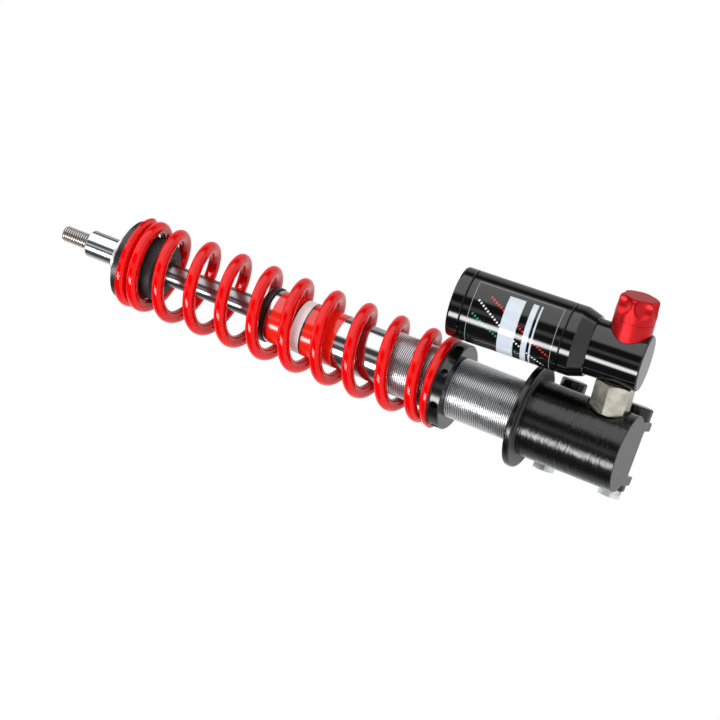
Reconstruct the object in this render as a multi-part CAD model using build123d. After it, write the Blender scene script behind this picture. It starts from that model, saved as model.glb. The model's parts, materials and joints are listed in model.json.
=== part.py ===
from build123d import *
import os
from math import cos, radians, sin, tan

# Coilover with a piggyback reservoir. Millimetres, +Z up along the damper axis.
# The origin is on that axis, at the top face of the spacer, where the chassis rests.
# +Y is the side of the lower clamp that faces the link, and the reservoir stands on the +X side.

# ---------------------------------------------------------------- driving dimensions
# top mount
STUD_D = 10.0
STUD_LENGTH = 19.0
THREAD_UNDERCUT = 1.5
SPACER_D = 17.2
SPACER_HEIGHT = 22.6
WASHER_D = 26.4
WASHER_THICKNESS = 1.8

# spring, right-hand, ends closed and ground
WIRE_D = 7.8
COIL_MEAN_D = 50.0
SPRING_TOP_Z = -35.2
SPRING_LENGTH = 217.1
TIP_BELOW_SEAT = -1.2
FIRST_TURN_ANGLE = 5.4
# (turns, pitch) from the top end to the bottom end
SPRING_STAGES = [(1.0, 8.0), (0.5, 9.6), (0.5, 19.2), (8.0, 22.25), (0.5, 17.0), (0.5, 11.6), (0.55, 6.2)]

# rod and damper tube
ROD_D = 14.0
TUBE_D = 33.0
TUBE_BORE_D = 30.0
SLEEVE_D = 37.8
SLEEVE_LENGTH = 106.0
SEAL_CAP_D = 35.0
SEAL_CAP_TOP_Z = -128.5
SEAL_CAP_THICKNESS = 4.8
STROKE = 65.0

# preload ring
RING_D = 54.0
RING_THICKNESS = 7.0
SLIP_WASHER_THICKNESS = 1.0
SPANNER_HOLES = 8
SPANNER_HOLE_D = 5.0
SPANNER_HOLE_ANGLE = -73.6

# lower mount casting
FLANGE_D = 64.6
FLANGE_TOP_Z = -305.2
FLANGE_THICKNESS = 4.8
BLOCK_R = 24.0
BLOCK_BOTTOM_Z = -372.4
CLAMP_FLAT_Y = 21.0
EAR_GAP = 29.0
EAR_THICKNESS = 5.7
EAR_TIP_Y = 33.5
CLAMP_BOLT_D = 8.0
CLAMP_BOLT_Y = 26.5
CLAMP_BOLT_Z = (-320.2, -363.8)
BOSS_D = 16.2
BOSS_X = (-24.5, 28.0)

# hydraulic union and reservoir
UNION_Z = -353.9
UNION_CLOCK = 14.4
UNION_LEAN = 0.7
RESERVOIR_OFFSET = 55.9
RESERVOIR_SWIVEL = 5.4
UNION_HEX = 21.8
UNION_SPIGOT_D = 14.0
UNION_SEAT_X = 20.0
HEAD_D = 34.6
HEAD_BOTTOM_Z = -13.8
RESERVOIR_D = 42.8
RESERVOIR_BORE_D = 38.0
RESERVOIR_TOP_Z = 105.1
KNOB_D = 25.0
KNOB_TOP_X = 38.0
KNOB_SCALLOPS = 6
KNOB_CLOCK = 56.5

RUNNING_CLEARANCE = 0.05

# ---------------------------------------------------------------- worked-out places
SPACER_BOTTOM_Z = -SPACER_HEIGHT
WASHER_BOTTOM_Z = SPACER_BOTTOM_Z - WASHER_THICKNESS
ROD_SHOULDER_Z = WASHER_BOTTOM_Z - 3.0
SPRING_BOTTOM_Z = SPRING_TOP_Z - SPRING_LENGTH
RING_TOP_Z = SPRING_BOTTOM_Z - SLIP_WASHER_THICKNESS
RING_BOTTOM_Z = RING_TOP_Z - RING_THICKNESS
FLANGE_BOTTOM_Z = FLANGE_TOP_Z - FLANGE_THICKNESS
TUBE_TOP_Z = SEAL_CAP_TOP_Z - SEAL_CAP_THICKNESS
SOCKET_FLOOR_Z = FLANGE_TOP_Z - 15.0
TUBE_BOTTOM_Z = SOCKET_FLOOR_Z - 3.0
SLEEVE_TOP_Z = SOCKET_FLOOR_Z + SLEEVE_LENGTH
SEAL_HEAD_BOTTOM_Z = TUBE_TOP_Z - 19.0
PISTON_STACK_TOP_Z = SEAL_HEAD_BOTTOM_Z - 14.0
ROD_BORE_D = ROD_D + 2 * RUNNING_CLEARANCE
HEAD_TOP_Z = 34.3

# the union's axis is X in this frame, and the reservoir's axis is Z in the next one
UNION_FRAME = Pos(0, 0, UNION_Z) * Rot(0, 0, -UNION_CLOCK) * Rot(0, -UNION_LEAN, 0)
RESERVOIR_FRAME = UNION_FRAME * Pos(RESERVOIR_OFFSET, 0, 0) * Rot(RESERVOIR_SWIVEL, 0, 0)
ALONG_X = Rot(0, 90, 0)


# ---------------------------------------------------------------- helpers
def turned(*points):
    """A solid turned about Z from an outline of (radius, height) points."""
    outline = Polyline(*[(r, 0, z) for r, z in points], close=True)
    return revolve(make_face(outline), Axis.Z)


def tube(outer_d, inner_d, low_z, high_z):
    """A plain tube or ring about Z."""
    if inner_d <= 0:
        return turned((0, low_z), (outer_d / 2, low_z), (outer_d / 2, high_z), (0, high_z))
    return turned((inner_d / 2, low_z), (outer_d / 2, low_z), (outer_d / 2, high_z), (inner_d / 2, high_z))


def rod_x(diameter, low_x, high_x, y=0, z=0):
    """A plain rod along X."""
    on_end = (Align.CENTER, Align.CENTER, Align.MIN)
    return Pos(low_x, y, z) * ALONG_X * Cylinder(diameter / 2, high_x - low_x, align=on_end)


def hexagon_x(across_flats, low_x, high_x):
    """A hexagonal bar along X with corners towards plus and minus Y, its corners turned off at both ends."""
    corner_r = across_flats / 2 / cos(radians(30))
    bar = extrude(RegularPolygon(corner_r, 6, rotation=90), high_x - low_x)
    height = high_x - low_x
    turn_off = (corner_r - across_flats / 2) * tan(radians(30))
    flat_r = across_flats / 2
    limit = turned(
        (0, 0), (flat_r, 0), (corner_r, turn_off), (corner_r, height - turn_off), (flat_r, height), (0, height)
    )
    return Pos(low_x, 0, 0) * ALONG_X * (bar & limit)


def o_ring(centre_r, cord_d, z):
    """A sealing ring about Z, turned as an octagon so that it seats on flat groove walls."""
    r = cord_d / 2
    points = [(centre_r + r * cos(radians(a)), z + r * sin(radians(a))) for a in range(0, 360, 45)]
    return turned(*points)


def save(shape, node):
    """Writes one sub-part to its own STEP file."""
    export_step(shape, f"parts/{node}.step")


# ---------------------------------------------------------------- top mount, seat and bump stop
def piston_rod():
    thread_end_z = PISTON_STACK_TOP_Z - 26.0
    stud_r = STUD_D / 2
    return turned(
        (0, thread_end_z),
        (3.4, thread_end_z),
        (4.0, thread_end_z + 0.6),
        (4.0, PISTON_STACK_TOP_Z),
        (ROD_D / 2, PISTON_STACK_TOP_Z),
        (ROD_D / 2, ROD_SHOULDER_Z),
        (stud_r, ROD_SHOULDER_Z),
        (stud_r, -THREAD_UNDERCUT),
        (stud_r - 0.7, -THREAD_UNDERCUT),
        (stud_r - 0.7, 0),
        (stud_r, 0),
        (stud_r, STUD_LENGTH - 1.6),
        (stud_r - 1.2, STUD_LENGTH),
        (0, STUD_LENGTH),
    )


def top_spacer():
    r = SPACER_D / 2
    bore_r = STUD_D / 2
    return turned(
        (bore_r, SPACER_BOTTOM_Z),
        (r - 0.4, SPACER_BOTTOM_Z),
        (r, SPACER_BOTTOM_Z + 0.4),
        (r, -1.2),
        (r - 1.2, 0),
        (bore_r, 0),
    )


def top_spring_seat():
    """A dished seat: a flat hub, a flaring skirt, and a turned rim that the spring bears on."""
    rim_r = 25.2
    rim_height = 5.0
    hub_r = WASHER_D / 2 + 0.6
    return turned(
        (STUD_D / 2, WASHER_BOTTOM_Z),
        (hub_r, WASHER_BOTTOM_Z),
        (rim_r - 1.3, SPRING_TOP_Z + rim_height + 1.0),
        (rim_r, SPRING_TOP_Z + rim_height),
        (rim_r, SPRING_TOP_Z),
        (16.0, SPRING_TOP_Z),
        (11.5, ROD_SHOULDER_Z),
        (STUD_D / 2, ROD_SHOULDER_Z),
    )


def bump_stop():
    """The rubber stop, which also pilots the end of the spring."""
    outer_r = 19.2
    bottom_z = -56.3
    return turned(
        (ROD_D / 2, ROD_SHOULDER_Z),
        (11.5, ROD_SHOULDER_Z),
        (16.0, SPRING_TOP_Z),
        (outer_r, SPRING_TOP_Z),
        (outer_r, bottom_z + 2.5),
        (outer_r - 2.5, bottom_z),
        (ROD_D / 2 + 3.0, bottom_z),
        (ROD_D / 2, bottom_z + 2.0),
    )


# ---------------------------------------------------------------- spring
def coil_spring():
    """Wire round a helix whose pitch opens from the closed ends, cut flat where it bears."""
    mean_r = COIL_MEAN_D / 2
    angle = FIRST_TURN_ANGLE
    z = SPRING_TOP_Z - TIP_BELOW_SEAT
    wire = None
    for turns, pitch in SPRING_STAGES:
        low_z = z - turns * pitch
        low_angle = angle - 360 * turns
        start = Pos(0, 0, low_z) * Rot(0, 0, low_angle)
        path = start * Helix(pitch=pitch, height=turns * pitch, radius=mean_r)
        section = start * Pos(mean_r, 0, 0) * Rot(90, 0, 0) * Circle(WIRE_D / 2)
        stage = sweep(section, path=path, is_frenet=True)
        wire = stage if wire is None else wire + stage
        z, angle = low_z, low_angle
    keep = tube(2 * COIL_MEAN_D, 0, SPRING_BOTTOM_Z, SPRING_TOP_Z)
    return wire & keep


# ---------------------------------------------------------------- damper internals on the rod
def piston_stack():
    """Everything clamped on the rod's threaded end, from the top down, as (node, outer, bore, thickness)."""
    return [
        ("piston_backing_washer", 20.0, 8.0, 2.0),
        ("rebound_shims", 25.0, 8.0, 1.5),
        ("damper_piston", TUBE_BORE_D - 2 * RUNNING_CLEARANCE, 8.0, 12.0),
        ("compression_shims", 24.0, 8.0, 1.5),
    ]


def damper_piston(low_z, high_z):
    """The piston, with a groove for its band and oil ports through it."""
    r = TUBE_BORE_D / 2 - 2 * RUNNING_CLEARANCE
    mid_z = (low_z + high_z) / 2
    body = turned(
        (4.0, low_z),
        (r, low_z),
        (r, mid_z - 3.5),
        (r - 1.0, mid_z - 3.5),
        (r - 1.0, mid_z + 3.5),
        (r, mid_z + 3.5),
        (r, high_z),
        (4.0, high_z),
    )
    for port in PolarLocations(9.0, 6):
        body -= Pos(0, 0, mid_z) * port * Cylinder(1.6, 2 * (high_z - low_z))
    return body


def piston_band(low_z, high_z):
    r = TUBE_BORE_D / 2 - RUNNING_CLEARANCE
    mid_z = (low_z + high_z) / 2
    return tube(2 * r, 2 * r - 1.9, mid_z - 3.5, mid_z + 3.5)


# ---------------------------------------------------------------- damper body
def damper_tube():
    r = TUBE_D / 2
    bore_r = TUBE_BORE_D / 2
    return turned(
        (bore_r, TUBE_BOTTOM_Z),
        (r, TUBE_BOTTOM_Z),
        (r, TUBE_TOP_Z - 0.8),
        (r - 0.8, TUBE_TOP_Z),
        (bore_r, TUBE_TOP_Z),
    )


def threaded_sleeve():
    r = SLEEVE_D / 2
    return turned(
        (TUBE_D / 2, SOCKET_FLOOR_Z),
        (r, SOCKET_FLOOR_Z),
        (r, SLEEVE_TOP_Z - 1.2),
        (r - 1.2, SLEEVE_TOP_Z),
        (TUBE_D / 2, SLEEVE_TOP_Z),
    )


def seal_head():
    """The gland that closes the tube and carries the rod's bush, seal and wiper."""
    cap_r = SEAL_CAP_D / 2
    body_r = TUBE_BORE_D / 2
    rod_r = ROD_D / 2 + 0.4
    top, under = SEAL_CAP_TOP_Z, TUBE_TOP_Z
    groove_z = under - 6.0
    return turned(
        (rod_r, SEAL_HEAD_BOTTOM_Z + 2.0),
        (9.0, SEAL_HEAD_BOTTOM_Z + 2.0),
        (9.0, SEAL_HEAD_BOTTOM_Z),
        (body_r, SEAL_HEAD_BOTTOM_Z),
        (body_r, groove_z - 1.4),
        (body_r - 2.0, groove_z - 1.4),
        (body_r - 2.0, groove_z + 1.4),
        (body_r, groove_z + 1.4),
        (body_r, under),
        (cap_r, under),
        (cap_r, top - 0.8),
        (cap_r - 0.8, top),
        (10.0, top),
        (10.0, top - 4.0),
        (8.5, top - 4.0),
        (8.5, top - 14.0),
        (10.0, top - 14.0),
        (10.0, top - 19.0),
        (rod_r, top - 19.0),
    )


def tube_band():
    """The printed film band round the tube."""
    return tube(TUBE_D + 0.5, TUBE_D, -181.2, -136.8)


# ---------------------------------------------------------------- preload
def slip_washer():
    return tube(RING_D - 1.0, SLEEVE_D + 2 * 0.3, RING_TOP_Z, SPRING_BOTTOM_Z)


def preload_ring():
    """The spring seat ring: eight blind holes round its rim take a pin spanner."""
    r = RING_D / 2
    bore_r = SLEEVE_D / 2 + RUNNING_CLEARANCE
    mid_z = (RING_TOP_Z + RING_BOTTOM_Z) / 2
    ring = turned(
        (bore_r, RING_BOTTOM_Z),
        (r - 0.6, RING_BOTTOM_Z),
        (r, RING_BOTTOM_Z + 0.6),
        (r, RING_TOP_Z - 0.6),
        (r - 0.6, RING_TOP_Z),
        (bore_r, RING_TOP_Z),
    )
    for i in range(SPANNER_HOLES):
        turn = Rot(0, 0, SPANNER_HOLE_ANGLE + 360 / SPANNER_HOLES * i)
        ring -= Pos(0, 0, mid_z) * turn * rod_x(SPANNER_HOLE_D, r - 4.5, r + 2)
    return ring


# ---------------------------------------------------------------- lower mount
def block_section():
    """The casting's section: round in front, and at the back a flat between two clamp ears."""
    ear_outer = EAR_GAP / 2 + EAR_THICKNESS
    reach = EAR_TIP_Y
    round_part = Circle(BLOCK_R)
    back = Pos(0, reach / 2) * Rectangle(2 * ear_outer, reach)
    back = fillet(back.vertices().group_by(Axis.Y)[-1], 2.0)
    gap = Pos(0, (CLAMP_FLAT_Y + reach + 5) / 2) * Rectangle(EAR_GAP, reach + 5 - CLAMP_FLAT_Y)
    gap = fillet(gap.vertices().group_by(Axis.Y)[0], 1.5)
    return (round_part + back) - gap


def lower_mount():
    height = FLANGE_BOTTOM_Z - BLOCK_BOTTOM_Z
    body = Pos(0, 0, BLOCK_BOTTOM_Z) * extrude(block_section(), height + 1.0)
    bottom_edges = body.edges().group_by(Axis.Z)[0]
    body = chamfer(bottom_edges, 0.4)
    flange_r = FLANGE_D / 2
    body += turned(
        (0, FLANGE_BOTTOM_Z),
        (flange_r - 1.4, FLANGE_BOTTOM_Z),
        (flange_r - 0.4, FLANGE_BOTTOM_Z + 0.4),
        (flange_r, FLANGE_BOTTOM_Z + 1.4),
        (flange_r, FLANGE_TOP_Z - 1.2),
        (flange_r - 0.35, FLANGE_TOP_Z - 0.35),
        (flange_r - 1.2, FLANGE_TOP_Z),
        (0, FLANGE_TOP_Z),
    )
    for z in CLAMP_BOLT_Z:
        for x in BOSS_X:
            inner = EAR_GAP / 2 if x > 0 else -EAR_GAP / 2
            boss = rod_x(BOSS_D, min(x, inner), max(x, inner), CLAMP_BOLT_Y, z)
            rim = boss.edges().group_by(Axis.X)[-1 if x > 0 else 0]
            body += fillet(rim, 1.2)
    # socket for the sleeve, seat for the tube, and the oil way down to the union's port
    body -= tube(SLEEVE_D, 0, SOCKET_FLOOR_Z, FLANGE_TOP_Z + 1)
    body -= tube(TUBE_D, 0, TUBE_BOTTOM_Z, SOCKET_FLOOR_Z + 1)
    body -= tube(9.0, 0, UNION_Z, TUBE_BOTTOM_Z + 1)
    port = rod_x(9.0, 0, UNION_SEAT_X)
    port += rod_x(UNION_SPIGOT_D, UNION_SEAT_X - 12.0, UNION_SEAT_X)
    port += rod_x(UNION_HEX / cos(radians(30)) + 1.6, UNION_SEAT_X, UNION_SEAT_X + 12.0)
    body -= UNION_FRAME * port
    clearance_r = CLAMP_BOLT_D / 2 + 0.25
    for z in CLAMP_BOLT_Z:
        body -= rod_x(2 * clearance_r, BOSS_X[0] - 1, 0, CLAMP_BOLT_Y, z)
        body -= rod_x(CLAMP_BOLT_D, 0, BOSS_X[1] - 1.5, CLAMP_BOLT_Y, z)
    return body


def clamp_bolts():
    """Two hexagon-head bolts, threaded into the bosses of the far ear."""
    head_height = 5.3
    bolts = []
    for z in CLAMP_BOLT_Z:
        head = Rot(20, 0, 0) * hexagon_x(13.0, BOSS_X[0] - head_height, BOSS_X[0])
        bolt = head + rod_x(CLAMP_BOLT_D, BOSS_X[0] - 1, BOSS_X[1] - 2.0)
        bolts.append(Pos(0, CLAMP_BOLT_Y, z) * bolt)
    return Compound(bolts)


# ---------------------------------------------------------------- union
HEAD_SPOT_X = -15.2
SEAL_THICKNESS = 1.0
HEX_LOW_X = UNION_SEAT_X + SEAL_THICKNESS
HEX_HIGH_X = RESERVOIR_OFFSET + HEAD_SPOT_X - SEAL_THICKNESS


def hex_union():
    """A hexagonal union with a spigot at each end and an oil way through it."""
    body = hexagon_x(UNION_HEX, HEX_LOW_X, HEX_HIGH_X)
    body += rod_x(UNION_SPIGOT_D, UNION_SEAT_X - 11.0, HEX_LOW_X + 1)
    body += rod_x(UNION_SPIGOT_D, HEX_HIGH_X - 1, HEX_HIGH_X + 9.0)
    return body - rod_x(7.0, 0, RESERVOIR_OFFSET)


def union_seals():
    rings = []
    for low_x in (UNION_SEAT_X, HEX_HIGH_X):
        high_x = low_x + SEAL_THICKNESS
        ring = rod_x(19.0, low_x, high_x) - rod_x(UNION_SPIGOT_D, low_x - 1, high_x + 1)
        rings.append(ring)
    return Compound(rings)


# ---------------------------------------------------------------- reservoir, in its own frame
KNOB_RECESS_X = 7.5
CARTRIDGE_D = 13.0


def reservoir_head():
    """The head: a round neck with the adjuster's recess and the union's port, a shoulder, and a spigot."""
    neck_r = HEAD_D / 2
    body_r = RESERVOIR_D / 2
    bore_r = RESERVOIR_BORE_D / 2
    chamber_r = 12.0
    shoulder_z = 19.0
    outline = [
        (0, HEAD_BOTTOM_Z),
        (neck_r - 0.8, HEAD_BOTTOM_Z),
        (neck_r, HEAD_BOTTOM_Z + 0.8),
        (neck_r, shoulder_z),
        (neck_r + 1.1, shoulder_z),
        (neck_r + 1.5, shoulder_z + 0.5),
        (body_r - 0.5, 26.3),
        (body_r, 28.0),
    ]
    outline += [
        (body_r, HEAD_TOP_Z - 0.3),
        (body_r - 0.3, HEAD_TOP_Z),
        (bore_r, HEAD_TOP_Z),
        (bore_r, 38.6),
        (bore_r - 1.8, 38.6),
        (bore_r - 1.8, 41.4),
        (bore_r, 41.4),
        (bore_r, 46.0),
        (chamber_r, 46.0),
        (chamber_r, 24.0),
        (0, 20.0),
    ]
    head = turned(*outline)
    head -= rod_x(KNOB_D + 0.9, KNOB_RECESS_X, 40)
    head -= rod_x(CARTRIDGE_D, -3.0, KNOB_RECESS_X + 1)
    head -= rod_x(UNION_HEX / cos(radians(30)) + 1.2, -40, HEAD_SPOT_X)
    head -= rod_x(UNION_SPIGOT_D, HEAD_SPOT_X - 1, HEAD_SPOT_X + 10.0)
    head -= rod_x(5.0, HEAD_SPOT_X, -2.0)
    head -= tube(5.0, 0, 8.0, 24.0)
    head -= Pos(0, 0, 8.0) * Box(5.0, 5.0, 5.0)
    return head


def reservoir_tube():
    r = RESERVOIR_D / 2
    bore_r = RESERVOIR_BORE_D / 2
    low_z, high_z = HEAD_TOP_Z + 0.6, 96.7
    return turned(
        (bore_r, low_z), (r - 0.3, low_z), (r, low_z + 0.3), (r, high_z - 0.3), (r - 0.3, high_z), (bore_r, high_z)
    )


def reservoir_end_cap():
    """The cap that closes the gas end, with a recess for the filling valve."""
    r = RESERVOIR_D / 2
    bore_r = RESERVOIR_BORE_D / 2
    flange_z = 97.4
    top_z = RESERVOIR_TOP_Z
    return turned(
        (0, 90.0),
        (10.0, 86.0),
        (bore_r, 86.0),
        (bore_r, 89.6),
        (bore_r - 1.8, 89.6),
        (bore_r - 1.8, 92.4),
        (bore_r, 92.4),
        (bore_r, flange_z),
        (r - 0.3, flange_z),
        (r, flange_z + 0.3),
        (r, top_z - 1.4),
        (r - 0.4, top_z - 0.4),
        (r - 1.4, top_z),
        (9.0, top_z),
        (9.0, top_z - 8.0),
        (4.0, top_z - 8.0),
        (4.0, 92.0),
        (0, 92.0),
    )


def gas_valve():
    return turned((0, 92.0), (4.0, 92.0), (4.0, 99.6), (2.6, 100.0), (2.6, 101.0), (0, 101.0))


def valve_cap():
    return turned((0, 101.0), (3.8, 101.0), (3.8, 103.6), (3.2, 104.2), (0, 104.2))


def reservoir_label():
    """A film label that wraps part of the tube."""
    r = RESERVOIR_D / 2
    low_z, high_z = 38.4, 92.7
    first_angle, last_angle = -254, -26
    outline = [(r, 0, low_z), (r + 0.15, 0, low_z), (r + 0.15, 0, high_z), (r, 0, high_z)]
    strip = make_face(Polyline(*outline, close=True))
    return Rot(0, 0, first_angle) * revolve(strip, Axis.Z, last_angle - first_angle)


def floating_piston():
    """The piston between oil and gas, dished on its gas side."""
    r = RESERVOIR_BORE_D / 2 - 2 * RUNNING_CLEARANCE
    groove_r = r - 2.0
    return turned(
        (0, 52.0),
        (r - 1.0, 52.0),
        (r, 53.0),
        (r, 59.6),
        (groove_r, 59.6),
        (groove_r, 62.4),
        (r, 62.4),
        (r, 70.0),
        (r - 4.0, 70.0),
        (r - 4.0, 58.0),
        (0, 58.0),
    )


def floating_piston_seal():
    bore_r = RESERVOIR_BORE_D / 2
    return tube(2 * (bore_r - RUNNING_CLEARANCE), 2 * (bore_r - 2 * RUNNING_CLEARANCE - 2.0), 59.6, 62.4)


# ---------------------------------------------------------------- adjuster, on X in the reservoir's frame
SPINDLE_D = 6.0
NEEDLE_D = 3.0


def adjuster_knob():
    """The knob: a thin line round its skirt, a rounded crown, and ball-cut scallops for the fingers."""
    r = KNOB_D / 2
    low = KNOB_RECESS_X + 0.7
    top = KNOB_TOP_X
    line = 23.5
    profile = turned(
        (0, low),
        (r - 0.4, low),
        (r, low + 0.4),
        (r, line - 0.2),
        (r - 0.25, line - 0.2),
        (r - 0.25, line + 0.2),
        (r, line + 0.2),
        (r, top - 2.8),
        (r - 0.35, top - 1.5),
        (r - 1.1, top - 0.6),
        (r - 2.2, top - 0.15),
        (r - 3.0, top),
        (0, top),
    )
    ball_r = 8.0
    depth = 4.1
    for i in range(KNOB_SCALLOPS):
        out = r + ball_r - depth
        place = Rot(0, 0, KNOB_CLOCK + 360 / KNOB_SCALLOPS * i) * Pos(0, -out, top - 3.8)
        profile -= place * Sphere(ball_r)
    knob = Rot(0, 90, 0) * Rot(0, 0, 90) * profile
    return knob - rod_x(SPINDLE_D, 0, 30.0)


def adjuster_spindle():
    """The spindle pressed into the knob, hollow at its foot where it drives the needle."""
    body = rod_x(SPINDLE_D, -2.0, 30.0)
    return body - rod_x(NEEDLE_D + 0.8, -3.0, 6.0)


def adjuster_cartridge():
    body = rod_x(CARTRIDGE_D, -3.0, KNOB_RECESS_X)
    body -= rod_x(SPINDLE_D + 2 * RUNNING_CLEARANCE, -2.5, KNOB_RECESS_X + 1)
    return body - rod_x(NEEDLE_D + 2 * RUNNING_CLEARANCE, -4.0, 0)


def metering_needle():
    """The needle that closes the bleed way as the knob is turned in."""
    cone = Cone(NEEDLE_D / 2, 0.5, 2.4, align=(Align.CENTER, Align.CENTER, Align.MIN))
    tip = Pos(-3.6, 0, 0) * Rot(0, -90, 0) * cone
    return rod_x(NEEDLE_D, -3.6, 4.0) + tip


# ---------------------------------------------------------------- assembly
os.makedirs("parts", exist_ok=True)

save(piston_rod(), "piston_rod")
save(top_spacer(), "top_spacer")
save(tube(WASHER_D, STUD_D, WASHER_BOTTOM_Z, SPACER_BOTTOM_Z), "top_washer")
save(top_spring_seat(), "top_spring_seat")
save(bump_stop(), "bump_stop")
save(coil_spring(), "coil_spring")
save(tube(22.0, ROD_D, PISTON_STACK_TOP_Z, SEAL_HEAD_BOTTOM_Z - 0.4), "top_out_bumper")

stack_z = PISTON_STACK_TOP_Z
for node, outer_d, bore_d, thickness in piston_stack():
    low_z = stack_z - thickness
    if node == "damper_piston":
        save(damper_piston(low_z, stack_z), node)
        save(piston_band(low_z, stack_z), "piston_band")
    else:
        save(tube(outer_d, bore_d, low_z, stack_z), node)
    stack_z = low_z
nut = Rot(0, 90, 0) * hexagon_x(13.0, 0, 6.5) - tube(8.0, 0, -10, 10)
save(Pos(0, 0, stack_z) * nut, "piston_nut")

save(damper_tube(), "damper_tube")
save(threaded_sleeve(), "threaded_sleeve")
save(tube_band(), "tube_band")
save(seal_head(), "seal_head")
save(tube(20.0, ROD_BORE_D, SEAL_CAP_TOP_Z - 4.0, SEAL_CAP_TOP_Z), "rod_wiper")
save(tube(17.0, ROD_BORE_D, SEAL_CAP_TOP_Z - 14.0, SEAL_CAP_TOP_Z - 4.0), "rod_bush")
save(tube(20.0, ROD_BORE_D, SEAL_CAP_TOP_Z - 19.0, SEAL_CAP_TOP_Z - 14.0), "rod_seal")
save(o_ring(TUBE_BORE_D / 2 - 1.0, 2.0, TUBE_TOP_Z - 6.0), "seal_head_o_ring")

save(slip_washer(), "spring_slip_washer")
save(preload_ring(), "preload_ring")
save(lower_mount(), "lower_mount")
save(clamp_bolts(), "clamp_bolts")

save(UNION_FRAME * hex_union(), "hex_union")
save(UNION_FRAME * union_seals(), "union_seals")

in_reservoir = {
    "reservoir_head": reservoir_head(),
    "reservoir_tube": reservoir_tube(),
    "reservoir_end_cap": reservoir_end_cap(),
    "head_o_ring": o_ring(RESERVOIR_BORE_D / 2 - 0.9, 1.8, 40.0),
    "end_cap_o_ring": o_ring(RESERVOIR_BORE_D / 2 - 0.9, 1.8, 91.0),
    "gas_valve": gas_valve(),
    "valve_cap": valve_cap(),
    "reservoir_label": reservoir_label(),
    "floating_piston": floating_piston(),
    "floating_piston_seal": floating_piston_seal(),
    "adjuster_knob": adjuster_knob(),
    "adjuster_spindle": adjuster_spindle(),
    "adjuster_cartridge": adjuster_cartridge(),
    "metering_needle": metering_needle(),
}
for node, shape in in_reservoir.items():
    save(RESERVOIR_FRAME * shape, node)
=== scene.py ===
import json
import logging
from dataclasses import dataclass, field
from enum import Enum
from math import cos, pi, radians, sin

import bmesh
import bpy
import numpy as np
from mathutils import Matrix, Vector


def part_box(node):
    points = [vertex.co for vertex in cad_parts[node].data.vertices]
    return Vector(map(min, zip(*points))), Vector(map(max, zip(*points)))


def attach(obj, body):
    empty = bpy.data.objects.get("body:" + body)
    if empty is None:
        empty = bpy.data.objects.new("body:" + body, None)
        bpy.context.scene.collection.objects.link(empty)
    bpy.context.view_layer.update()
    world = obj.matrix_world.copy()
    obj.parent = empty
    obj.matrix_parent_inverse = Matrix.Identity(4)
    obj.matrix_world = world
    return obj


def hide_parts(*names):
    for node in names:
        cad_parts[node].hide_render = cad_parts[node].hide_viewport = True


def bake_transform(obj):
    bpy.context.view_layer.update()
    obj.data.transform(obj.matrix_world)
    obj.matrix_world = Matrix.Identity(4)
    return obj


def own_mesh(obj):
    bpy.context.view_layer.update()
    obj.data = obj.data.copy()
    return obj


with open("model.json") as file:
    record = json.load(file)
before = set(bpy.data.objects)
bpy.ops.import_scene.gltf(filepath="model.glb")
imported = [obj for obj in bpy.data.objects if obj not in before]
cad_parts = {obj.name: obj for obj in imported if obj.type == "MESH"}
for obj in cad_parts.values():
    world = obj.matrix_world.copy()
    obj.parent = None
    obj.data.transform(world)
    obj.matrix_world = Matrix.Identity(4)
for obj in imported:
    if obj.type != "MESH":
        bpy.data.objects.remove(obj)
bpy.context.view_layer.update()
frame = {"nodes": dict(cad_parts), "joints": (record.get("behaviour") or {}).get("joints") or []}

MM = 0.001
log = logging.getLogger("coilover")


# ------------------------------------------------------------------------------------ places
@dataclass(frozen=True)
class Place:
    """A local frame: where a turned part's own axes lie in the row's frame.

    Attributes:
        origin: the local origin, in metres.
        x: the local X direction.
        z: the local Z direction.
    """

    origin: tuple[float, float, float] = (0.0, 0.0, 0.0)
    x: tuple[float, float, float] = (1.0, 0.0, 0.0)
    z: tuple[float, float, float] = (0.0, 0.0, 1.0)

    def axes(self) -> np.ndarray:
        """Squares the local frame up: X loses its part along Z, and Y is the cross of Z and X.

        Returns:
            The local X, Y and Z directions as the columns of a 3 by 3 array.
        """
        z = np.array(self.z, float) / np.linalg.norm(self.z)
        x = np.array(self.x, float) - z * float(np.dot(self.x, z))
        x /= np.linalg.norm(x)
        return np.column_stack([x, np.cross(z, x), z])


def joint(name: str) -> dict:
    """Returns the frame's joint of that name."""
    return next(j for j in frame["joints"] if j["name"] == name)


# the damper's axis is Z; the knob and the union were turned about the knob joint's axis
DAMPER = Place()
KNOB_CENTRE = tuple(joint("knob_turn")["pos_m"])
KNOB_AXIS = tuple(joint("knob_turn")["axis"])
KNOB = Place(origin=KNOB_CENTRE, x=(0.0, 0.0, 1.0), z=KNOB_AXIS)
RESERVOIR = Place(origin=KNOB_CENTRE, x=KNOB_AXIS, z=tuple(joint("floating_piston_slide")["axis"]))


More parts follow.
